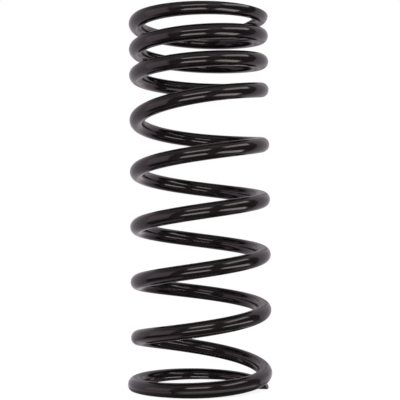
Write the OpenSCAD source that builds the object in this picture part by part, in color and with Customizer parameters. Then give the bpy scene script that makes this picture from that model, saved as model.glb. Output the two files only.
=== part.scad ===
// Suspension spring: one length of round steel wire, wound right-handed into a coil.
// From the ground up it has a closed foot turn, wide open turns, close turns and a
// closed crown turn. Both ends are ground flat and square to the axis.
// The origin lies on the coil's axis in the plane of the foot face. +Z runs up the
// axis, turns are counted from the +X side, and a whole turn is one trip round.

/* [Wire and coil] */
// Diameter of the round wire
wire_d = 14; // [10:0.5:17]
// Mean diameter of the coil, from wire centre to wire centre
mean_d = 118; // [100:1:150]
// Free length, from one ground face to the other
free_len = 350; // [310:1:420]

/* [Turns] */
// Angle of the foot tip, counted from the +X side
tip_angle = -13; // [-60:1:60]
// Turns of the closed foot, from its tip to where the wire lifts off
foot_turns = 0.76; // [0.68:0.01:0.95]
// Turns of the open body
open_turns = 5.25; // [4:0.05:6.5]
// Turns that are wound close
close_turns = 2.48; // [1.5:0.01:3.5]
// Turns of the closed crown, up to its tip
crown_turns = 0.8; // [0.7:0.01:0.95]

/* [Pitch] */
// Pitch of the close turns
close_pitch = 24.5; // [20:0.5:32]
// How much more than the open pitch the wire climbs where it leaves the foot
first_extra = 16; // [0:1:24]
// Turns over which it climbs so fast
first_turns = 0.66; // [0.45:0.01:1]

/* [Ends] */
// Thickness left at the ground foot tip
foot_tip = 5; // [3.5:0.1:7]
// Thickness left at the ground crown tip
crown_tip = 3.3; // [2.5:0.1:7]
// Clearance between the foot tip and the turn above it
foot_gap = 0.6; // [0.3:0.1:2]
// Clearance between the crown tip and the turn below it
crown_gap = 1; // [0.3:0.1:3]

/* [Winding errors] */
// How far the foot turn sits off the axis, towards -X
foot_shift = 3.2; // [0:0.1:6]
// How far the closed and close turns lean, back side high
lean = 1.4; // [0:0.1:3]
// How far the last open turn sags
sag = 3.6; // [0:0.1:6]
// Turns from the lowest point of the sag up to the close turns
sag_back = 0.59; // [0.4:0.01:1]
// Turns from that point to where the sag ends, each way
sag_reach = 0.46; // [0.3:0.01:0.6]

/* [Blends] */
// Turns over which the pitch grows as the wire leaves the foot
foot_blend = 0.42; // [0.2:0.01:0.6]
// Turns over which it settles to the open pitch
first_blend = 0.18; // [0.1:0.01:0.4]
// Turns over which it falls to the close pitch
close_blend = 0.2; // [0.1:0.01:0.6]
// Turns over which it falls to the pitch of the crown
crown_blend = 0.34; // [0.1:0.01:0.6]
// Turns over which a lean or a shift comes and goes
error_blend = 0.5; // [0.3:0.01:0.8]

/* [Hidden] */
coat = [0.09, 0.09, 0.1];

// Smoothness of the wire: sides of its section and rings along its whole length
sides = 16;
rings = 390;

wire_r = wire_d / 2;
coil_r = mean_d / 2;

// Places along the wire, in turns
start_turn = tip_angle / 360;
lift_turn = start_turn + foot_turns;
settle_turn = lift_turn + first_turns;
close_turn = lift_turn + open_turns;
crown_turn = close_turn + close_turns;
end_turn = crown_turn + crown_turns;
all_turns = end_turn - start_turn;
sag_turn = close_turn - sag_back;

// Turns spent at a new pitch by turn t, where the pitch blends in over w turns from turn a
function spent(t, a, w) =
    let (u = min(max((t - a) / w, 0), 1))
    w * (pow(u, 3) - pow(u, 4) / 2) + max(t - a - w, 0);

// Share from 0 to 1 that grows smoothly over w turns, half of it by turn a
function share(t, a, w) =
    let (u = min(max((t - a) / w + 0.5, 0), 1))
    u * u * (3 - 2 * u);

// Hump from 0 to 1 and back, with its top at turn a
function hump(t, a, reach) =
    let (u = min(max((t - a) / reach, -1), 1))
    (1 + cos(180 * u)) / 2;

// Share of the foot's errors at turn t, and of the close turns'
function foot_share(t) = 1 - share(t, lift_turn, error_blend);
function close_share(t) = share(t, close_turn, error_blend);

// Height that the lean adds at turn t
function lean_z(t) = lean * (foot_share(t) + close_share(t)) * sin(360 * t);

// What each stretch counts for in the climb from tip to tip
lift_spent = spent(end_turn, lift_turn, foot_blend);
settle_spent = spent(end_turn, settle_turn, first_blend);
close_spent = spent(end_turn, close_turn, close_blend);
crown_spent = spent(end_turn, crown_turn, crown_blend);
tip_spent = spent(start_turn + 1, lift_turn, foot_blend);

// The crown's pitch brings its tip one wire and a gap above the turn below it
crown_pitch = close_pitch + (wire_d + crown_gap - close_pitch) / crown_spent;

// The foot's pitch does the same for the foot tip, and the open pitch takes up what is
// left of the free length. Each depends on the other, so the open pitch is solved first.
climb = free_len + wire_d - foot_tip - crown_tip - lean_z(end_turn) + lean_z(start_turn);
foot_lean = lean_z(start_turn + 1) - lean_z(start_turn);
foot_base = (wire_d + foot_gap - foot_lean - first_extra * tip_spent) / (1 - tip_spent);
foot_trade = tip_spent / (1 - tip_spent);
open_pitch = (climb
    - foot_base * (all_turns - lift_spent)
    - first_extra * (lift_spent - settle_spent)
    - close_pitch * (close_spent - crown_spent)
    - crown_pitch * crown_spent)
    / (lift_spent - close_spent - foot_trade * (all_turns - lift_spent));
foot_pitch = foot_base - foot_trade * open_pitch;
first_pitch = open_pitch + first_extra;

// Height of the wire's centre at turn t
function wire_z(t) =
    foot_tip - wire_r - lean_z(start_turn)
    + foot_pitch * (t - start_turn)
    + (first_pitch - foot_pitch) * spent(t, lift_turn, foot_blend)
    + (open_pitch - first_pitch) * spent(t, settle_turn, first_blend)
    + (close_pitch - open_pitch) * spent(t, close_turn, close_blend)
    + (crown_pitch - close_pitch) * spent(t, crown_turn, crown_blend)
    + lean_z(t)
    - sag * hump(t, sag_turn, sag_reach);

// Slope of the wire at turn t, taken over a thousandth of a turn
slope_step = 0.001;
function slope(t) =
    (wire_z(t + slope_step) - wire_z(t - slope_step)) / (2 * slope_step * 2 * PI * coil_r);

// Centre of the wire at turn t
function centre(t) =
    [coil_r * cos(360 * t) - foot_shift * foot_share(t), coil_r * sin(360 * t), wire_z(t)];

// Point on the wire's skin at turn t, at angle a round the section from its outer side
function skin(t, a) =
    let (
        s = slope(t),
        out = [cos(360 * t), sin(360 * t), 0],
        up = [s * sin(360 * t), -s * cos(360 * t), 1] / sqrt(1 + s * s)
    )
    centre(t) + wire_r * (cos(a) * out + sin(a) * up);

// The wound wire before grinding, with square-cut tips
module wound_wire() {
    points = [
        for (i = [0 : rings], j = [0 : sides - 1])
            skin(start_turn + all_turns * i / rings, 360 * j / sides)
    ];
    walls = [
        for (i = [0 : rings - 1], j = [0 : sides - 1], half = [0, 1])
            let (
                a = i * sides + j,
                b = i * sides + (j + 1) % sides,
                c = b + sides,
                d = a + sides
            )
            half == 0 ? [a, b, c] : [a, c, d]
    ];
    foot_cut = [for (j = [sides - 1 : -1 : 0]) j];
    crown_cut = [for (j = [0 : sides - 1]) rings * sides + j];
    polyhedron(points, concat(walls, [foot_cut, crown_cut]), convexity = 10);
}

// All that lies between the two grinding planes
module between_faces() {
    reach = mean_d + 2 * wire_d + 2 * foot_shift;
    translate([-reach / 2, -reach / 2, 0]) cube([reach, reach, free_len]);
}

module coil_spring() {
    color(coat) intersection() {
        wound_wire();
        between_faces();
    }
}

coil_spring();
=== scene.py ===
import math

import bpy
from bpy.props import (
    FloatProperty,
    FloatVectorProperty,
    IntProperty,
    PointerProperty,
)
from mathutils import Matrix, Vector


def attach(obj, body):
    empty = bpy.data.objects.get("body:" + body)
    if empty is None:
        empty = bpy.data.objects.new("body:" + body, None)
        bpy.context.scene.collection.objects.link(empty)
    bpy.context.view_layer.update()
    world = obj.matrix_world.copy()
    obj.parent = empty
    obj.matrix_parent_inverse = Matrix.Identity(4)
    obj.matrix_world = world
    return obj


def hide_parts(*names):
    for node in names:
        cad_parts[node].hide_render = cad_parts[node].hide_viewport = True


bl_info = {
    "name": "Suspension Spring",
    "version": (1, 0, 0),
    "blender": (4, 5, 0),
    "location": "View3D > Sidebar > Spring",
    "description": "Winds a coil spring with ground ends, coats it and sets it in a studio",
    "category": "Object",
}

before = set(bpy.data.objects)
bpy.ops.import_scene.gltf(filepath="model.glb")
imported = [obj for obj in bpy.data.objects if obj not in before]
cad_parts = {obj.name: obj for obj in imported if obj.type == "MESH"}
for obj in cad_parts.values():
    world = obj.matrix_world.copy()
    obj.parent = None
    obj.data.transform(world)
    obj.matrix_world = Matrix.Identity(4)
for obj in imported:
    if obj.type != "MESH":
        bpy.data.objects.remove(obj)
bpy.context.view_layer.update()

WIRE_NODE = "coil_spring"
MM = 0.001


# What a user can change: sizes, looks and the studio


class WireSizes(bpy.types.PropertyGroup):
    """Sizes of the wound wire; all but the last three repeat those of the part's source"""

    wire_d: FloatProperty(
        name="Wire Diameter", description="Diameter of the round wire",
        default=14 * MM, min=10 * MM, max=17 * MM, unit="LENGTH")
    mean_d: FloatProperty(
        name="Mean Diameter", description="Coil diameter between wire centres",
        default=118 * MM, min=100 * MM, max=150 * MM, unit="LENGTH")
    free_len: FloatProperty(
        name="Free Length", description="Distance between the two ground faces",
        default=350 * MM, min=310 * MM, max=420 * MM, unit="LENGTH")
    tip_angle: FloatProperty(
        name="Tip Angle", description="Angle of the foot tip, counted from the +X side",
        default=math.radians(-13), subtype="ANGLE")
    foot_turns: FloatProperty(
        name="Foot Turns", description="Turns of the closed foot", default=0.76)
    open_turns: FloatProperty(
        name="Open Turns", description="Turns of the open body", default=5.25)
    close_turns: FloatProperty(
        name="Close Turns", description="Turns that are wound close", default=2.48)
    crown_turns: FloatProperty(
        name="Crown Turns", description="Turns of the closed crown", default=0.8)
    close_pitch: FloatProperty(
        name="Close Pitch", description="Pitch of the close turns",
        default=24.5 * MM, unit="LENGTH")
    first_extra: FloatProperty(
        name="First Extra", description="Extra pitch where the wire leaves the foot",
        default=16 * MM, unit="LENGTH")
    first_turns: FloatProperty(
        name="First Turns", description="Turns over which it climbs so fast", default=0.66)
    foot_tip: FloatProperty(
        name="Foot Tip", description="Thickness left at the ground foot tip",
        default=5 * MM, unit="LENGTH")
    crown_tip: FloatProperty(
        name="Crown Tip", description="Thickness left at the ground crown tip",
        default=3.3 * MM, unit="LENGTH")
    foot_gap: FloatProperty(
        name="Foot Gap", description="Clearance between the foot tip and the next turn",
        default=0.6 * MM, unit="LENGTH")
    crown_gap: FloatProperty(
        name="Crown Gap", description="Clearance between the crown tip and the turn below",
        default=1 * MM, unit="LENGTH")
    foot_shift: FloatProperty(
        name="Foot Shift", description="How far the foot turn sits off the axis",
        default=3.2 * MM, unit="LENGTH")
    lean: FloatProperty(
        name="Lean", description="How far the closed and close turns lean",
        default=1.4 * MM, unit="LENGTH")
    sag: FloatProperty(
        name="Sag", description="How far the last open turn sags",
        default=3.6 * MM, unit="LENGTH")
    sag_back: FloatProperty(
        name="Sag Back", description="Turns from the lowest point up to the close turns",
        default=0.59)
    sag_reach: FloatProperty(
        name="Sag Reach", description="Turns from the lowest point to where the sag ends",
        default=0.46)
    foot_blend: FloatProperty(
        name="Foot Blend", description="Turns over which the pitch leaves the foot",
        default=0.42)
    first_blend: FloatProperty(
        name="First Blend", description="Turns over which it settles to the open pitch",
        default=0.18)
    close_blend: FloatProperty(
        name="Close Blend", description="Turns over which it falls to the close pitch",
        default=0.2)
    crown_blend: FloatProperty(
        name="Crown Blend", description="Turns over which it falls to the crown's pitch",
        default=0.34)
    error_blend: FloatProperty(
        name="Error Blend", description="Turns over which a lean or shift comes and goes",
        default=0.5)
    rings: IntProperty(
        name="Rings", description="Rings along the whole wire", default=1120, min=200)
    sides: IntProperty(
        name="Sides", description="Sides of the wire's section, an even number",
        default=48, min=12)
    edge: FloatProperty(
        name="Edge", description="Softened edge round the ground faces and the tips",
        default=0.35 * MM, unit="LENGTH")


class CoatLook(bpy.types.PropertyGroup):
    """Colours and finish of the coat"""

    colour: FloatVectorProperty(
        name="Coat Colour", description="Colour of the gloss coat",
        default=(0.0022, 0.0015, 0.0013), size=3, subtype="COLOR", min=0, max=1)
    dust_colour: FloatVectorProperty(
        name="Dust Colour", description="Colour of the fine dust on its upper side",
        default=(0.16, 0.15, 0.14), size=3, subtype="COLOR", min=0, max=1)
    worn_colour: FloatVectorProperty(
        name="Worn Colour", description="Colour where the seats have rubbed the coat",
        default=(0.045, 0.043, 0.042), size=3, subtype="COLOR", min=0, max=1)
    roughness: FloatProperty(
        name="Roughness", description="Roughness of the gloss coat",
        default=0.12, min=0, max=1, subtype="FACTOR")
    ground_roughness: FloatProperty(
        name="Ground Roughness", description="Roughness of the coat over the ground faces",
        default=0.38, min=0, max=1, subtype="FACTOR")
    peel_size: FloatProperty(
        name="Peel Size", description="Width of one dimple of the orange peel",
        default=2.2 * MM, unit="LENGTH")
    peel_depth: FloatProperty(
        name="Peel Depth", description="Depth of the orange peel",
        default=0.0009 * MM, unit="LENGTH", precision=6)


class StudioSetup(bpy.types.PropertyGroup):
    """Camera and light of the stage"""

    distance: FloatProperty(
        name="Distance", description="Camera to the middle of the coil's axis",
        default=908.5 * MM, unit="LENGTH")
    tilt: FloatProperty(
        name="Tilt", description="How far the camera looks up at the middle",
        default=0.0375, subtype="ANGLE")
    roll: FloatProperty(
        name="Roll", description="How far the camera is turned about its view",
        default=0.0103, subtype="ANGLE")
    lens: FloatProperty(
        name="Lens", description="Focal length in millimetres on a 36 mm sensor",
        default=86.51)
    lift: FloatProperty(
        name="Lift", description="Vertical shift of the frame, as a share of its width",
        default=0.00275)
    lamp: FloatProperty(
        name="Lamp Level", description="Brightness of the strip lamps", default=3.6)


# Node graphs, built with plain arithmetic

# Room that one node takes up in the node editor
COLUMN_WIDTH, ROW_HEIGHT = 220, 160

# Types of the sockets that node groups have
FLOAT, INT = "NodeSocketFloat", "NodeSocketInt"
GEOMETRY, MATERIAL = "NodeSocketGeometry", "NodeSocketMaterial"


class Number:
    """A number that runs through a node tree; arithmetic with it adds Math nodes"""

    def __init__(self, graph, socket):
        self.graph, self.socket = graph, socket

    def __add__(self, other):
        return self.graph.math("ADD", self, other)

    def __sub__(self, other):
        return self.graph.math("SUBTRACT", self, other)

    def __mul__(self, other):
        return self.graph.math("MULTIPLY", self, other)

    def __truediv__(self, other):
        return self.graph.math("DIVIDE", self, other)

    def __radd__(self, other):
        return self.graph.math("ADD", other, self)

    def __rsub__(self, other):
        return self.graph.math("SUBTRACT", other, self)

    def __rtruediv__(self, other):
        return self.graph.math("DIVIDE", other, self)

    def __pow__(self, other):
        return self.graph.math("POWER", self, other)


class Graph:
    """Adds nodes to one tree, feeds their sockets and reads their results"""

    def __init__(self, tree):
        self.tree = tree
        self.nodes = tree.nodes

    def feed(self, socket, value):
        """Links a socket to a value from the tree, or sets it to a plain value"""
        if isinstance(value, Number):
            value = value.socket
        if isinstance(value, bpy.types.NodeSocket):
            self.tree.links.new(value, socket)
        else:
            socket.default_value = value

    def node(self, kind, inputs=None, **settings):
        """Adds a node with its settings, and feeds its inputs by name or number"""
        made = self.nodes.new(kind)
        for name, value in settings.items():
            setattr(made, name, value)
        for key, value in (inputs or {}).items():
            self.feed(made.inputs[key], value)
        return made

    def math(self, operation, *values, clamp=False):
        """The result of a Math node"""
        made = self.node("ShaderNodeMath", dict(enumerate(values)),
                         operation=operation, use_clamp=clamp)
        return Number(self, made.outputs[0])

    def number(self, socket):
        """A socket's value, ready for arithmetic"""
        return Number(self, socket)

    def vector(self, x, y, z):
        """One vector from three numbers"""
        return self.node("ShaderNodeCombineXYZ", {0: x, 1: y, 2: z}).outputs[0]

    def split(self, socket):
        """The three numbers of a vector"""
        parts = self.node("ShaderNodeSeparateXYZ", {0: socket}).outputs
        return [Number(self, part) for part in parts]

    def ramp(self, value, low, high, out_low=0.0, out_high=1.0, kind="LINEAR"):
        """Goes from one output to the other as the value goes from low to high"""
        made = self.node("ShaderNodeMapRange",
                         {0: value, 1: low, 2: high, 3: out_low, 4: out_high},
                         interpolation_type=kind)
        return Number(self, made.outputs[0])

    def group(self, tree, inputs):
        """Adds the group node of another tree, and feeds its inputs by name"""
        kind = ("GeometryNodeGroup" if tree.bl_idname == "GeometryNodeTree"
                else "ShaderNodeGroup")
        made = self.nodes.new(kind)
        made.node_tree = tree
        for name, value in inputs.items():
            self.feed(made.inputs[name], value)
        return made

    def arrange(self):
        """Sets the nodes in columns, each to the left of the nodes it feeds"""
        column = {node: 0 for node in self.nodes}
        for _ in range(len(self.nodes)):
            moved = False
            for link in self.tree.links:
                if column[link.from_node] < column[link.to_node] + 1:
                    column[link.from_node] = column[link.to_node] + 1
                    moved = True
            if not moved:
                break
        rows = {}
        for node, place in column.items():
            node.location = (-COLUMN_WIDTH * place, -ROW_HEIGHT * rows.get(place, 0))
            rows[place] = rows.get(place, 0) + 1


def new_group(name, kind, inputs, outputs):
    """A node group with named sockets; inputs and outputs are (name, socket type)"""
    tree = bpy.data.node_groups.new(name, kind)
    for direction, sockets in (("INPUT", inputs), ("OUTPUT", outputs)):
        for label, socket_type in sockets:
            tree.interface.new_socket(name=label, in_out=direction, socket_type=socket_type)
    graph = Graph(tree)
    graph.given = tree.nodes.new("NodeGroupInput").outputs
    graph.result = tree.nodes.new("NodeGroupOutput").inputs
    return graph


# The rule of the wire, as numbers and as node groups

# Half the stretch over which the wire's slope is taken, in turns
SLOPE_STEP = 0.002
# A face whose middle is this close to either end lies in a grinding plane
FACE_TOLERANCE = 0.01 * MM


def spent(turn, start, blend):
    """Turns spent at a new pitch, where it blends in over some turns from start"""
    u = min(max((turn - start) / blend, 0.0), 1.0)
    return blend * (u ** 3 - u ** 4 / 2) + max(turn - start - blend, 0.0)


def share(turn, middle, blend):
    """Share that grows smoothly from 0 to 1, half of it by the middle"""
    u = min(max((turn - middle) / blend + 0.5, 0.0), 1.0)
    return u * u * (3 - 2 * u)


def wire_stations(sizes):
    """Places along the wire, in turns from the +X side"""
    start = math.degrees(sizes.tip_angle) / 360
    lift = start + sizes.foot_turns
    close = lift + sizes.open_turns
    crown = close + sizes.close_turns
    return {
        "Start Turn": start, "Lift Turn": lift, "Settle Turn": lift + sizes.first_turns,
        "Close Turn": close, "Crown Turn": crown, "End Turn": crown + sizes.crown_turns,
        "Sag Turn": close - sizes.sag_back,
    }


def wire_pitches(sizes, at):
    """Pitches that bring both tips clear of the next turn and fill the free length"""
    def lean_z(turn):
        errors = 1 - share(turn, at["Lift Turn"], sizes.error_blend)
        errors += share(turn, at["Close Turn"], sizes.error_blend)
        return sizes.lean * errors * math.sin(2 * math.pi * turn)

    start, end = at["Start Turn"], at["End Turn"]
    lift_spent = spent(end, at["Lift Turn"], sizes.foot_blend)
    settle_spent = spent(end, at["Settle Turn"], sizes.first_blend)
    close_spent = spent(end, at["Close Turn"], sizes.close_blend)
    crown_spent = spent(end, at["Crown Turn"], sizes.crown_blend)
    tip_spent = spent(start + 1, at["Lift Turn"], sizes.foot_blend)
    crown = (sizes.close_pitch
             + (sizes.wire_d + sizes.crown_gap - sizes.close_pitch) / crown_spent)
    climb = (sizes.free_len + sizes.wire_d - sizes.foot_tip - sizes.crown_tip
             - lean_z(end) + lean_z(start))
    foot_lean = lean_z(start + 1) - lean_z(start)
    foot_base = ((sizes.wire_d + sizes.foot_gap - foot_lean - sizes.first_extra * tip_spent)
                 / (1 - tip_spent))
    trade = tip_spent / (1 - tip_spent)
    at_foot = end - start - lift_spent
    open_pitch = ((climb - foot_base * at_foot
                   - sizes.first_extra * (lift_spent - settle_spent)
                   - sizes.close_pitch * (close_spent - crown_spent)
                   - crown * crown_spent)
                  / (lift_spent - close_spent - trade * at_foot))
    return {
        "Foot Pitch": foot_base - trade * open_pitch, "Open Pitch": open_pitch,
        "First Pitch": open_pitch + sizes.first_extra, "Close Pitch": sizes.close_pitch,
        "Crown Pitch": crown,
        "Start Height": sizes.foot_tip - sizes.wire_d / 2 - lean_z(start),
    }


def spent_group():
    """Turns spent at a new pitch, as the function spent gives them"""
    graph = new_group("Turns Spent", "GeometryNodeTree",
                      [("Turn", FLOAT), ("Start", FLOAT), ("Blend", FLOAT)],
                      [("Spent", FLOAT)])
    turn, start, blend = (graph.number(socket) for socket in graph.given[:3])
    past = turn - start
    u = graph.math("DIVIDE", past, blend, clamp=True)
    beyond = graph.math("MAXIMUM", past - blend, 0.0)
    graph.feed(graph.result["Spent"], blend * (u ** 3 - u ** 4 * 0.5) + beyond)
    graph.arrange()
    return graph.tree


def errors_group():
    """Shares of the winding errors along the wire: the foot's and the close turns'"""
    graph = new_group("Winding Errors", "GeometryNodeTree",
                      [("Turn", FLOAT), ("Lift Turn", FLOAT), ("Close Turn", FLOAT),
                       ("Error Blend", FLOAT)],
                      [("Foot Share", FLOAT), ("Close Share", FLOAT)])
    turn, blend = graph.number(graph.given["Turn"]), graph.number(graph.given["Error Blend"])
    half = blend * 0.5

    def step(name):
        middle = graph.number(graph.given[name])
        return graph.ramp(turn, middle - half, middle + half, kind="SMOOTHSTEP")

    graph.feed(graph.result["Foot Share"], 1.0 - step("Lift Turn"))
    graph.feed(graph.result["Close Share"], step("Close Turn"))
    graph.arrange()
    return graph.tree


def errors_at(graph, errors_tree, turn, value):
    """Shares of the winding errors at a turn: the foot's and the close turns'"""
    errors = graph.group(errors_tree, {"Turn": turn, "Lift Turn": value["Lift Turn"],
                                       "Close Turn": value["Close Turn"],
                                       "Error Blend": value["Error Blend"]})
    return [graph.number(output) for output in errors.outputs]


HEIGHT_INPUTS = [
    "Lift Turn", "Settle Turn", "Close Turn", "Crown Turn", "Sag Turn", "Start Turn",
    "Start Height", "Foot Pitch", "First Pitch", "Open Pitch", "Close Pitch",
    "Crown Pitch", "Foot Blend", "First Blend", "Close Blend", "Crown Blend",
    "Error Blend", "Lean", "Sag", "Sag Reach",
]


def height_group(spent_tree, errors_tree):
    """Height of the wire's centre after some turns"""
    graph = new_group("Wire Height", "GeometryNodeTree",
                      [("Turn", FLOAT)] + [(name, FLOAT) for name in HEIGHT_INPUTS],
                      [("Height", FLOAT)])
    turn = graph.number(graph.given["Turn"])
    value = {name: graph.number(graph.given[name]) for name in HEIGHT_INPUTS}
    height = value["Start Height"] + value["Foot Pitch"] * (turn - value["Start Turn"])
    stretches = [("Lift Turn", "Foot Blend", "First Pitch", "Foot Pitch"),
                 ("Settle Turn", "First Blend", "Open Pitch", "First Pitch"),
                 ("Close Turn", "Close Blend", "Close Pitch", "Open Pitch"),
                 ("Crown Turn", "Crown Blend", "Crown Pitch", "Close Pitch")]
    for start, blend, new_pitch, old_pitch in stretches:
        turns = graph.group(spent_tree, {"Turn": turn, "Start": value[start],
                                         "Blend": value[blend]})
        gain = value[new_pitch] - value[old_pitch]
        height = height + gain * graph.number(turns.outputs[0])
    foot_share, close_share = errors_at(graph, errors_tree, turn, value)
    lean = value["Lean"] * (foot_share + close_share)
    height = height + lean * graph.math("SINE", turn * (2 * math.pi))
    lowest, reach = value["Sag Turn"], value["Sag Reach"]
    swing = graph.ramp(turn, lowest - reach, lowest + reach, -math.pi, math.pi)
    hump = (graph.math("COSINE", swing) + 1.0) * 0.5
    graph.feed(graph.result["Height"], height - value["Sag"] * hump)
    graph.arrange()
    return graph.tree


def wound_wire_tree():
    """The wire's whole rule: a tube of rings set along the coil, cut by two planes

    The section's points run from the lower side round the outer side to the upper
    side and back round the inner side. Where a grinding plane cuts the wire they are
    squeezed together, so that one edge spans the cut and lies in the plane.
    """
    spent_tree, errors_tree = spent_group(), errors_group()
    height_tree = height_group(spent_tree, errors_tree)
    numbers = ["Wire Radius", "Coil Radius", "Free Length", "End Turn", "Foot Shift",
               *HEIGHT_INPUTS]
    graph = new_group("Wound Wire", "GeometryNodeTree",
                      [("Geometry", GEOMETRY)] + [(name, FLOAT) for name in numbers]
                      + [("Rings", INT), ("Sides", INT), ("Coat", MATERIAL),
                         ("Ground Coat", MATERIAL)],
                      [("Geometry", GEOMETRY)])
    value = {name: graph.number(graph.given[name]) for name in numbers}
    sides = graph.number(graph.given["Sides"])
    tube = graph.node("GeometryNodeMeshCylinder",
                      {"Vertices": graph.given["Sides"], "Side Segments": graph.given["Rings"],
                       "Radius": 1.0, "Depth": 1.0}, fill_type="NGON")
    x, y, z = graph.split(graph.node("GeometryNodeInputPosition").outputs[0])

    # Each ring's turn along the wire, and the height and slope of the wire's centre there
    turn = value["Start Turn"] + (value["End Turn"] - value["Start Turn"]) * (z + 0.5)
    rules = {name: value[name] for name in HEIGHT_INPUTS}

    def height_at(where):
        return graph.number(graph.group(height_tree, {"Turn": where, **rules}).outputs[0])

    centre_z = height_at(turn)
    rise = height_at(turn + SLOPE_STEP) - height_at(turn - SLOPE_STEP)
    slope = rise / (value["Coil Radius"] * (4 * math.pi * SLOPE_STEP))
    upright = 1.0 / graph.math("SQRT", slope * slope + 1.0)

    angle = turn * (2 * math.pi)
    cos_turn, sin_turn = graph.math("COSINE", angle), graph.math("SINE", angle)

    # Each point's number round the section, whether it is on the inner side, and its
    # share of the way from the lowest point to the highest
    place = graph.math("ROUND", graph.math("ARCTAN2", y, x) * (1 / (2 * math.pi)) * sides)
    place = graph.math("FLOORED_MODULO", place, sides)
    half = sides * 0.5
    inner = graph.math("GREATER_THAN", place, half - 0.5)
    along = place + inner * (sides - 1.0 - place * 2.0)
    along = along / (half - 1.0)

    # The section's lowest and highest angles, which the grinding planes draw in
    reach = value["Wire Radius"] * upright
    half_step = math.pi / sides
    low_sine = graph.math("MAXIMUM", centre_z * -1.0 / reach, -1.0)
    low = graph.math("MAXIMUM", graph.math("ARCSINE", low_sine), half_step - math.pi / 2)
    high_sine = graph.math("MINIMUM", (value["Free Length"] - centre_z) / reach, 1.0)
    high = graph.math("MINIMUM", graph.math("ARCSINE", high_sine), math.pi / 2 - half_step)
    section = low + (high - low) * along
    outward = value["Wire Radius"] * graph.math("COSINE", section) * (1.0 - inner * 2.0)
    upward = value["Wire Radius"] * graph.math("SINE", section) * upright

    foot_share, _ = errors_at(graph, errors_tree, turn, value)
    shift = value["Foot Shift"] * foot_share
    radius = value["Coil Radius"] + outward
    lean_out = upward * slope
    point = graph.vector(radius * cos_turn + lean_out * sin_turn - shift,
                         radius * sin_turn - lean_out * cos_turn,
                         centre_z + upward)
    placed = graph.node("GeometryNodeSetPosition",
                        {"Geometry": tube.outputs["Mesh"], "Position": point})

    # The rule turns the tube inside out, so its faces are flipped
    facing_out = graph.node("GeometryNodeFlipFaces", {"Mesh": placed.outputs[0]})
    smooth = graph.node("GeometryNodeSetShadeSmooth",
                        {"Geometry": facing_out.outputs[0], "Shade Smooth": True})
    whole = graph.node("GeometryNodeRealizeInstances", {"Geometry": smooth.outputs[0]})
    _, _, face_z = graph.split(graph.node("GeometryNodeInputPosition").outputs[0])
    from_end = graph.math("MINIMUM", face_z, value["Free Length"] - face_z)
    ground = graph.math("LESS_THAN", from_end, FACE_TOLERANCE)
    coated = graph.node("GeometryNodeSetMaterial",
                        {"Geometry": whole.outputs[0], "Material": graph.given["Coat"]})
    finished = graph.node("GeometryNodeSetMaterial",
                          {"Geometry": coated.outputs[0], "Selection": ground,
                           "Material": graph.given["Ground Coat"]})
    graph.feed(graph.result["Geometry"], finished.outputs[0])
    graph.arrange()
    return graph.tree


# The gloss coat and the coat over the ground faces

GLOSS_IOR = 1.53
GLOSS_TINT = (1.0, 0.89, 0.94, 1.0)

# How many times lighter the coat is where it clouds, and along the grinding marks
CLOUD_GAIN, GRIND_GAIN = 1.35, 1.8

# Distances from an end: the coat is rubbed most up to the first, and not past the second
RUB_FULL, RUB_NONE = 0.1 * MM, 1.1 * MM

# Cells of the patterns in a metre: dust specks, hairlines, rubbed patches, and the
# grinding marks by X, Y and Z, which makes them run along X
SPECK_SCALE, HAIRLINE_SCALE, PATCH_SCALE = 2600.0, 55.0, 240.0
GRIND_SCALE = (40.0, 2400.0, 1.0)


def coat_effects_group():
    """Orange peel, slow clouding, fine dust and hairline scuffs, in object space"""
    graph = new_group("Coat Effects", "ShaderNodeTree",
                      [("Peel Size", FLOAT), ("Cloud Size", FLOAT), ("Dust Level", FLOAT),
                       ("Scuff Level", FLOAT)],
                      [("Peel", FLOAT), ("Cloud", FLOAT), ("Dust", FLOAT), ("Scuffs", FLOAT)])
    where = graph.node("ShaderNodeTexCoord").outputs["Object"]
    peel = graph.node("ShaderNodeTexNoise",
                      {"Vector": where, "Scale": 1.0 / graph.number(graph.given["Peel Size"]),
                       "Detail": 1.5, "Roughness": 0.4})
    graph.feed(graph.result["Peel"], peel.outputs["Fac"])
    cloud = graph.node("ShaderNodeTexNoise",
                       {"Vector": where, "Scale": 1.0 / graph.number(graph.given["Cloud Size"]),
                        "Detail": 3.0, "Roughness": 0.55})
    cloudy = graph.ramp(cloud.outputs["Fac"], 0.3, 0.7)
    graph.feed(graph.result["Cloud"], cloudy)

    _, _, up = graph.split(graph.node("ShaderNodeNewGeometry").outputs["Normal"])
    settled = graph.ramp(up, 0.1, 0.9, kind="SMOOTHSTEP")
    specks = graph.node("ShaderNodeTexNoise",
                        {"Vector": where, "Scale": SPECK_SCALE, "Detail": 2.0,
                         "Roughness": 0.6})
    grains = graph.ramp(specks.outputs["Fac"], 0.66, 0.74)
    film = cloudy * 0.12
    dust = (grains * 0.8 + film) * settled * graph.number(graph.given["Dust Level"])
    graph.feed(graph.result["Dust"], graph.math("MINIMUM", dust, 1.0))

    stretched = graph.node("ShaderNodeMapping",
                           {"Vector": where, "Rotation": (0.4, 0.7, 0.2),
                            "Scale": (1.0, 9.0, 4.0)})
    scratches = graph.node("ShaderNodeTexVoronoi",
                           {"Vector": stretched.outputs[0], "Scale": HAIRLINE_SCALE,
                            "Randomness": 1.0}, feature="DISTANCE_TO_EDGE")
    lines = graph.ramp(scratches.outputs["Distance"], 0.006, 0.0)
    patches = graph.ramp(cloud.outputs["Fac"], 0.58, 0.66)
    scuffs = lines * patches * graph.number(graph.given["Scuff Level"])
    graph.feed(graph.result["Scuffs"], scuffs)
    graph.arrange()
    return graph.tree


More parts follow.
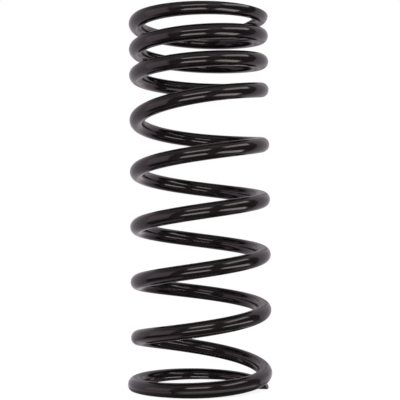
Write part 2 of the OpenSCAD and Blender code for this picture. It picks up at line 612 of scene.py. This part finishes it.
def colour_mix(graph, factor, first, second):
    """The output of a node that goes from the first colour to the second"""
    made = graph.node("ShaderNodeMix", data_type="RGBA")
    graph.feed(made.inputs["Factor"], factor)
    for name, value in (("A", first), ("B", second)):
        sockets = (item for item in made.inputs if item.name == name)
        graph.feed(next(item for item in sockets if item.type == "RGBA"), value)
    return next(item for item in made.outputs if item.type == "RGBA")


def opaque(colour, gain=1.0):
    """A colour with full alpha, made lighter by a factor"""
    return (*[part * gain for part in colour], 1.0)


def new_material(name):
    """A new material and the graph of its nodes"""
    material = bpy.data.materials.new(name)
    material.use_nodes = True
    return material, Graph(material.node_tree)


def place_effects(graph, effects, inputs):
    """Places the shared effects in a material: its peel, cloud, dust and scuffs"""
    marks = graph.group(effects, inputs)
    return [graph.number(marks.outputs[name]) for name in ("Peel", "Cloud", "Dust", "Scuffs")]


def feed_coat(graph, look, colour, dust, roughness, relief, depth):
    """Gives the coat's shader its colour under the dust, its finish and its relief"""
    inputs = graph.nodes["Principled BSDF"].inputs
    graph.feed(inputs["Base Color"], colour_mix(graph, dust, colour, opaque(look.dust_colour)))
    graph.feed(inputs["Roughness"], roughness)
    inputs["IOR"].default_value = GLOSS_IOR
    inputs["Specular Tint"].default_value = GLOSS_TINT
    bump = graph.node("ShaderNodeBump", {"Strength": 1.0, "Distance": depth, "Height": relief})
    graph.feed(inputs["Normal"], bump.outputs[0])
    graph.arrange()


def coat_material(look, effects, free_len):
    """Gloss powder coat: near black, glossy, with orange peel and a little dust"""
    material, graph = new_material("gloss_powder_coat")
    peel, cloud, dust, scuffs = place_effects(graph, effects, {
        "Peel Size": look.peel_size, "Cloud Size": 38 * MM,
        "Dust Level": 0.06, "Scuff Level": 0.5})

    where = graph.node("ShaderNodeTexCoord").outputs["Object"]
    _, _, z = graph.split(where)
    from_end = graph.math("MINIMUM", z, free_len - z)
    near_end = graph.ramp(from_end, RUB_NONE, RUB_FULL, kind="SMOOTHSTEP")
    patchy = graph.node("ShaderNodeTexNoise",
                        {"Vector": where, "Scale": PATCH_SCALE, "Detail": 3.0})
    worn = near_end * graph.ramp(patchy.outputs["Fac"], 0.35, 0.6)

    tinted = colour_mix(graph, cloud, opaque(look.colour), opaque(look.colour, CLOUD_GAIN))
    rubbed = colour_mix(graph, worn, tinted, opaque(look.worn_colour))
    rough = look.roughness + cloud * 0.03 + dust * 0.35 + scuffs * 0.2 + worn * 0.15
    feed_coat(graph, look, rubbed, dust, rough, peel - scuffs * 0.4, look.peel_depth)
    return material


def ground_material(look, effects):
    """The same coat over the ground faces, where faint grinding marks show through"""
    material, graph = new_material("ground_powder_coat")
    peel, cloud, dust, scuffs = place_effects(graph, effects, {
        "Peel Size": look.peel_size * 0.7, "Cloud Size": 14 * MM,
        "Dust Level": 0.2, "Scuff Level": 1.0})

    where = graph.node("ShaderNodeTexCoord").outputs["Object"]
    drawn = graph.node("ShaderNodeMapping", {"Vector": where, "Rotation": (0, 0, 0.5),
                                             "Scale": GRIND_SCALE})
    lines = graph.node("ShaderNodeTexNoise", {"Vector": drawn.outputs[0], "Scale": 1.0,
                                              "Detail": 2.0})
    grind = graph.number(lines.outputs["Fac"])
    rub = graph.ramp(cloud, 0.45, 0.95) * 0.8

    dark = colour_mix(graph, grind, opaque(look.colour), opaque(look.colour, GRIND_GAIN))
    rubbed = colour_mix(graph, rub, dark, opaque(look.worn_colour))
    rough = look.ground_roughness + cloud * 0.12 + scuffs * 0.1
    feed_coat(graph, look, rubbed, dust, rough, grind + peel * 0.6, look.peel_depth * 1.6)
    return material


# Building the wire


def link(made):
    """Puts a new object in the scene"""
    bpy.context.scene.collection.objects.link(made)
    return made


def plain_mesh(source, name):
    """Replaces an object with modifiers by a plain one that has its finished mesh"""
    bpy.context.view_layer.update()
    depsgraph = bpy.context.evaluated_depsgraph_get()
    finished = source.evaluated_get(depsgraph)
    mesh = bpy.data.meshes.new_from_object(finished, depsgraph=depsgraph)
    mesh.name = name
    bpy.data.objects.remove(source)
    return link(bpy.data.objects.new(name, mesh))


def set_inputs(modifier, values):
    """Sets a Geometry Nodes modifier's inputs by their sockets' identifiers"""
    known = {item.name: item.identifier for item in modifier.node_group.interface.items_tree
             if item.item_type == "SOCKET" and item.in_out == "INPUT"}
    for name, value in values.items():
        modifier[known[name]] = value


class SPRING_OT_wind_wire(bpy.types.Operator):
    """Winds the wire, grinds its two ends and gives it the gloss coat"""

    bl_idname = "spring.wind_wire"
    bl_label = "Wind Wire"

    def execute(self, context):
        sizes, look = context.scene.spring_wire, context.scene.spring_coat
        effects = coat_effects_group()
        coats = {"Coat": coat_material(look, effects, sizes.free_len),
                 "Ground Coat": ground_material(look, effects)}
        at = wire_stations(sizes)
        pitches = wire_pitches(sizes, at)
        if min(pitches["Foot Pitch"], pitches["Open Pitch"], pitches["Crown Pitch"]) <= 0:
            raise ValueError("these turns don't fit in the free length")
        base = link(bpy.data.objects.new("wire_rule", bpy.data.meshes.new("wire_rule")))
        rule = base.modifiers.new("Wound Wire", "NODES")
        rule.node_group = wound_wire_tree()
        set_inputs(rule, {
            **at, **pitches, **coats,
            "Wire Radius": sizes.wire_d / 2, "Coil Radius": sizes.mean_d / 2,
            "Free Length": sizes.free_len, "Foot Shift": sizes.foot_shift, "Lean": sizes.lean,
            "Sag": sizes.sag, "Sag Reach": sizes.sag_reach, "Foot Blend": sizes.foot_blend,
            "First Blend": sizes.first_blend, "Close Blend": sizes.close_blend,
            "Crown Blend": sizes.crown_blend, "Error Blend": sizes.error_blend,
            "Rings": sizes.rings, "Sides": sizes.sides,
        })
        wire = plain_mesh(base, "coil_wire")
        soften = wire.modifiers.new("Soft Edges", "BEVEL")
        soften.width = sizes.edge
        soften.segments = 2
        soften.limit_method = "ANGLE"
        soften.angle_limit = math.radians(40)
        soften.use_clamp_overlap = False
        weigh = wire.modifiers.new("Flat Faces Flat", "WEIGHTED_NORMAL")
        weigh.keep_sharp = True
        wire = plain_mesh(wire, "spring_wire")
        # The node tree leaves an empty slot before the two coats
        wire.data.materials.pop(index=0)
        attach(wire, "root")
        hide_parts(WIRE_NODE)
        return {"FINISHED"}


# The stage, in metres and degrees where nothing else is said. Angles run round the
# coil's axis, from the camera's side towards +X.

# How far the floor reaches each way, and how far it lies below the foot's face
FLOOR_REACH, FLOOR_DROP = 6.0, 0.1 * MM

# The floor's grey to the light that it bounces, then its grey and glow where it's seen
FLOOR_BOUNCE, FLOOR_SEEN, FLOOR_GLOW = 0.8, 0.3, 0.86

# The white world's level as light, and as a background
WORLD_LIGHT, WORLD_SEEN = 0.5, 1.0

# The room of cards that only the gloss sees, and the height of its ground
ROOM_RADIUS, ROOM_HEIGHT = 1.3, 2.4
ROOM_GROUND = 0.05 * MM

# Flat faces in a card that runs round the axis
CARD_FACES = 16

WHITE = (1.0, 1.0, 1.0)

# Colours of the front cards, the flags and the ceiling, of the other cards, and of the
# lamps and the cards that stand in for one
FRONT_TINT = (1.0, 0.95, 0.97)
SIDE_TINT = (1.0, 0.915, 0.985)
LAMP_TINT = (0.975, 1.0, 0.95)

# Level to which a card falls where its ends fade out
UNLIT = 0.16

# All levels of cards are multiplied by this, UNLIT too
CARD_LEVEL = 0.96

# Each sector of the studio: name, angles, then the wall's two levels with the heights
# between which it fades, and the ground's two levels with their distances
SECTORS = (
    ("front", (-48, 60), (0.16, 0.42), (0.35, 0.6), (0.15, 0.18), (0.2, 1.2)),
    ("right", (60, 106), (0.16, 0.45), (1.1, 2.0), (0.4, 0.12), (0.1, 0.5)),
    ("right_back", (106, 163), (0.72, 0.4), (1.4, 2.2), (0.25, 0.68), (0.05, 0.4)),
    ("back", (163, 192), (0.4, 0.06), (0.5, 0.8), (0.15, 0.9), (0.05, 0.6)),
    ("left_back", (192, 268), (0.74, 0.34), (0.6, 1.8), (0.36, 0.68), (0.05, 0.4)),
    ("left", (268, 312), (1.12, 0.42), (0.65, 1.1), (0.12, 1.0), (0.38, 0.46)),
)

# Cards round the foot and a panel before the back wall, in millimetres: name, angles,
# near and far circle as (radius, height), levels from near to far, and the angle over
# which both ends fade. One whose levels are over 1 stands in for a lamp.
CARDS = (
    # This card is dark by the wire and pale further out: a painted contact shadow of the coil
    # on the ground that its gloss shows
    ("foot_left_shadow", (-138, -18), (62, 0.1), (84, 0.1), (0.1, 0.95), 12),
    ("foot_left_far", (-138, -18), (84, 0.1), (145, 0.1), (0.95, 0.5), 12),
    ("foot_rim", (-26, 64), (71, 0.1), (77.5, 5.8), (1.1, 1.8), 14),
    ("foot_flag", (-18.5, 60), (77.5, 5.8), (77.5, 17), (0.22, 0.22), 1),
    ("foot_right", (60, 110), (77.5, 0.1), (77.5, 17), (1.0, 1.0), 8),
    ("foot_back_right", (173, 193), (46, 0.1), (46, 1.6), (8, 8), 4),
    ("foot_back_left", (198, 216), (46, 0.1), (46, 1.6), (8, 8), 4),
    ("back_panel", (160, 200), (1280, 500), (1280, 1250), (0.6, 0.6), 6),
)

# Flags between the coil's two sides and the strip lamps, each from one X to another.
# They keep the lamps off the ends of the turns, as seen from behind, and go from dark
# to pale between two heights.
FLAGS = {"left": (-0.122, -0.07), "right": (0.04, 0.09)}
FLAG_Y, FLAG_TOP = -0.16, 0.45
FLAG_LEVELS, FLAG_FADE = (0.22, 0.8), (0.3, 0.38)

# The room's ceiling in two halves: name, angles and level
CEILINGS = (
    ("ceiling", (-90, 90), 0.46),
    ("back_ceiling", (90, 270), 0.28),
)

# Strip lamps: name, both ends, the vector across the strip, and how many times the
# studio's lamp level it has
STRIP_LAMPS = (
    ("upper_left_strip", ((-0.225, -0.47, 0.43), (0.115, -0.47, 0.43)),
     (0, 0.19, 0.05), 1.07),
    ("lower_left_strip", ((-0.2, -0.415, 0.03), (0.115, -0.415, 0.03)),
     (0, -0.2, 0.062), 1.15),
    ("upper_right_strip", ((0.345, -0.43, 0.53), (0.505, -0.025, 0.53)),
     (-0.11, 0.045, 0.14), 0.88),
    ("lower_right_strip", ((0.235, -0.355, 0.03), (0.375, -0.055, 0.03)),
     (0.17, -0.075, 0.05), 1.1),
)


def turned_by(angle, x, y):
    """How far a point lies aside and ahead, looking out from the axis at an angle"""
    across, along = math.cos(math.radians(angle)), math.sin(math.radians(angle))
    return x * across + y * along, x * along - y * across


def show_only(graph, shader):
    """Makes one shader node the whole surface of its material"""
    graph.nodes.remove(graph.nodes["Principled BSDF"])
    graph.feed(graph.nodes["Material Output"].inputs["Surface"], shader.outputs[0])
    graph.arrange()


def glow_material(name, colour, levels, reach, by="height", angles=None, fade=0):
    """A glow that goes from one level to another, by height or by distance

    Between two angles it can also fade out towards both.
    """
    material, graph = new_material(name)
    x, y, z = graph.split(graph.node("ShaderNodeTexCoord").outputs["Object"])
    along = z if by == "height" else graph.math("SQRT", x * x + y * y)
    level = graph.ramp(along, reach[0], reach[1], levels[0], levels[1], kind="SMOOTHSTEP")
    if fade:
        middle, half = (angles[0] + angles[1]) / 2, (angles[1] - angles[0]) / 2
        aside = graph.math("ARCTAN2", *turned_by(middle, x, y))
        aside = graph.math("ABSOLUTE", aside) * (180 / math.pi)
        level = graph.ramp(aside, half - fade, half, level, UNLIT, kind="SMOOTHSTEP")
    glow = graph.node("ShaderNodeEmission",
                      {"Color": opaque(colour), "Strength": level * CARD_LEVEL})
    show_only(graph, glow)
    material.cycles.emission_sampling = "NONE"
    return material


def seen_directly(graph):
    """1 for camera, glossy and transmission rays, so that gloss shows the background"""
    path = graph.node("ShaderNodeLightPath").outputs
    seen = graph.number(path["Is Camera Ray"]) + graph.number(path["Is Glossy Ray"])
    return graph.math("MINIMUM", seen + graph.number(path["Is Transmission Ray"]), 1.0)


def floor_material():
    """Pale floor that reads as white and still takes the object's soft shadow"""
    material, graph = new_material("pale_floor")
    lit = graph.node("ShaderNodeBsdfDiffuse", {"Color": opaque([FLOOR_BOUNCE] * 3)})
    faint = graph.node("ShaderNodeBsdfDiffuse", {"Color": opaque([FLOOR_SEEN] * 3)})
    white = graph.node("ShaderNodeEmission", {"Color": opaque(WHITE), "Strength": FLOOR_GLOW})
    shown = graph.node("ShaderNodeAddShader", {0: faint.outputs[0], 1: white.outputs[0]})
    surface = graph.node("ShaderNodeMixShader", {0: seen_directly(graph), 1: lit.outputs[0],
                                                 2: shown.outputs[0]})
    show_only(graph, surface)
    return material


def flat_object(name, points, faces, material):
    """An object of flat faces in one material"""
    mesh = bpy.data.meshes.new(name)
    mesh.from_pydata(points, [], faces)
    mesh.materials.append(material)
    return link(bpy.data.objects.new(name, mesh))


def lay_floor():
    """Lays the pale floor just below the foot's face"""
    low, high = -FLOOR_REACH, FLOOR_REACH
    corners = [(low, low), (high, low), (high, high), (low, high)]
    floor = flat_object("floor", [(x, y, -FLOOR_DROP) for x, y in corners],
                        [(0, 1, 2, 3)], floor_material())


def gloss_card(name, points, faces, material):
    """Sets up a card that only the gloss of the coat sees; it isn't in the picture"""
    made = flat_object(name, points, faces, material)
    made.visible_camera = made.visible_diffuse = made.visible_shadow = False
    made.visible_transmission = made.visible_volume_scatter = False


def sector_card(name, angles, near, far, material):
    """Sets up a card round the axis, between two circles given as (radius, height)"""
    points, faces = [], []
    for step in range(CARD_FACES + 1):
        angle = math.radians(angles[0] + (angles[1] - angles[0]) * step / CARD_FACES)
        for radius, height in (near, far):
            points.append((radius * math.sin(angle), -radius * math.cos(angle), height))
    for first in range(0, 2 * CARD_FACES, 2):
        faces.append((first, first + 2, first + 3, first + 1))
    gloss_card(name, points, faces, material)


def set_room():
    """Sets up the room's walls and ground"""
    for name, angles, wall, wall_fade, ground, ground_fade in SECTORS:
        tint = FRONT_TINT if name == "front" else SIDE_TINT
        sector_card(name + "_wall", angles, (ROOM_RADIUS, 0), (ROOM_RADIUS, ROOM_HEIGHT),
                    glow_material(name + "_wall", tint, wall, wall_fade))
        sector_card(name + "_ground", angles, (0, ROOM_GROUND), (ROOM_RADIUS, ROOM_GROUND),
                    glow_material(name + "_ground", tint, ground, ground_fade, "distance"))


def set_cards():
    """Sets up the cards round the foot and the panel before the back wall"""
    for name, angles, near, far, levels, fade in CARDS:
        near, far = [(radius * MM, height * MM) for radius, height in (near, far)]
        upright = near[0] == far[0]
        reach = (near[1], far[1]) if upright else (near[0], far[0])
        tint = LAMP_TINT if min(levels) > 1 else SIDE_TINT
        sector_card(name, angles, near, far, glow_material(
            name, tint, levels, reach, "height" if upright else "distance", angles, fade))


def set_flags():
    """Sets up the flags between the coil and the strip lamps"""
    for side, (near, far) in FLAGS.items():
        name = side + "_flag"
        corners = [(near, 0), (far, 0), (far, FLAG_TOP), (near, FLAG_TOP)]
        gloss_card(name, [(x, FLAG_Y, z) for x, z in corners], [(0, 1, 2, 3)],
                   glow_material(name, FRONT_TINT, FLAG_LEVELS, FLAG_FADE))


def set_ceiling():
    """Sets up the room's ceiling, each half at one level"""
    for name, angles, level in CEILINGS:
        sector_card(name, angles, (0, ROOM_HEIGHT), (ROOM_RADIUS, ROOM_HEIGHT),
                    glow_material(name, FRONT_TINT, (level, level), (0, 1)))


def stand(made, place, axes):
    """Places an object so that its own X, Y and Z run along the three axes"""
    made.matrix_world = Matrix.Translation(place) @ Matrix(axes).transposed().to_4x4()


def strip_lamp(name, ends, rise, level):
    """Hangs a soft strip lamp between two ends; rise is the vector across the strip"""
    first, last, across = Vector(ends[0]), Vector(ends[1]), Vector(rise)
    along = (last - first).normalized()
    across -= along * across.dot(along)
    light = bpy.data.lights.new(name, "AREA")
    light.shape = "RECTANGLE"
    light.size, light.size_y = (last - first).length, across.length
    light.color = LAMP_TINT
    light.energy = level * math.pi * light.size * light.size_y
    lamp = link(bpy.data.objects.new(name, light))
    across.normalize()
    stand(lamp, (first + last) / 2, (along, across, along.cross(across)))
    lamp.visible_camera = False


def set_world():
    """Sets up the white world, brighter as a background than as light"""
    world = bpy.data.worlds.new("studio_white")
    world.use_nodes = True
    graph = Graph(world.node_tree)
    back = graph.nodes["Background"]
    back.inputs["Color"].default_value = opaque(WHITE)
    level = graph.ramp(seen_directly(graph), 0.0, 1.0, WORLD_LIGHT, WORLD_SEEN)
    graph.feed(back.inputs["Strength"], level)
    graph.arrange()
    world.cycles.sampling_method = "NONE"
    bpy.context.scene.world = world


def set_camera(studio, middle):
    """Sets up the camera, aimed at a point on the coil's axis"""
    camera = bpy.data.cameras.new("camera")
    camera.lens = studio.lens
    camera.sensor_width = 36
    camera.shift_y = studio.lift
    camera.clip_start, camera.clip_end = 0.01, 50
    holder = link(bpy.data.objects.new("camera", camera))
    tilt, roll = Matrix.Rotation(-studio.tilt, 3, "X"), Matrix.Rotation(-studio.roll, 3, "Y")
    turn = (tilt @ roll).transposed()
    right, ahead, up = turn.col
    stand(holder, Vector((0, 0, middle)) - ahead * studio.distance, (right, up, -ahead))
    bpy.context.scene.camera = holder


class SPRING_OT_set_stage(bpy.types.Operator):
    """Sets the pale floor, the cards, the lamps, the white world and the camera"""

    bl_idname = "spring.set_stage"
    bl_label = "Set Stage"

    def execute(self, context):
        studio = context.scene.spring_studio
        lay_floor()
        set_room()
        set_cards()
        set_flags()
        set_ceiling()
        for name, ends, rise, times in STRIP_LAMPS:
            strip_lamp(name, ends, rise, studio.lamp * times)
        set_world()
        set_camera(studio, context.scene.spring_wire.free_len / 2)
        context.scene.view_settings.view_transform = "Standard"
        return {"FINISHED"}


class SPRING_PT_sidebar(bpy.types.Panel):
    """The spring's sizes, coat and studio, with a button for each step"""

    bl_label = "Suspension Spring"
    bl_space_type = "VIEW_3D"
    bl_region_type = "UI"
    bl_category = "Spring"

    def draw(self, context):
        # The first step uses the sizes and the coat, so its button stands below both
        for title, group, step in (
                ("Wire", "spring_wire", None),
                ("Coat", "spring_coat", SPRING_OT_wind_wire.bl_idname),
                ("Studio", "spring_studio", SPRING_OT_set_stage.bl_idname)):
            box = self.layout.box()
            box.label(text=title)
            values = getattr(context.scene, group)
            for name in values.__annotations__:
                box.prop(values, name)
            if step:
                box.operator(step)


CLASSES = (WireSizes, CoatLook, StudioSetup, SPRING_OT_wind_wire, SPRING_OT_set_stage,
           SPRING_PT_sidebar)


def register():
    """Registers the classes and hangs the property groups on the scene"""
    for cls in CLASSES:
        bpy.utils.register_class(cls)
    bpy.types.Scene.spring_wire = PointerProperty(type=WireSizes)
    bpy.types.Scene.spring_coat = PointerProperty(type=CoatLook)
    bpy.types.Scene.spring_studio = PointerProperty(type=StudioSetup)


def unregister():
    """Takes the property groups off the scene and unregisters the classes"""
    del bpy.types.Scene.spring_studio
    del bpy.types.Scene.spring_coat
    del bpy.types.Scene.spring_wire
    for cls in reversed(CLASSES):
        bpy.utils.unregister_class(cls)


def main():
    register()
    bpy.ops.spring.wind_wire()
    bpy.ops.spring.set_stage()


if __name__ == "__main__":
    main()
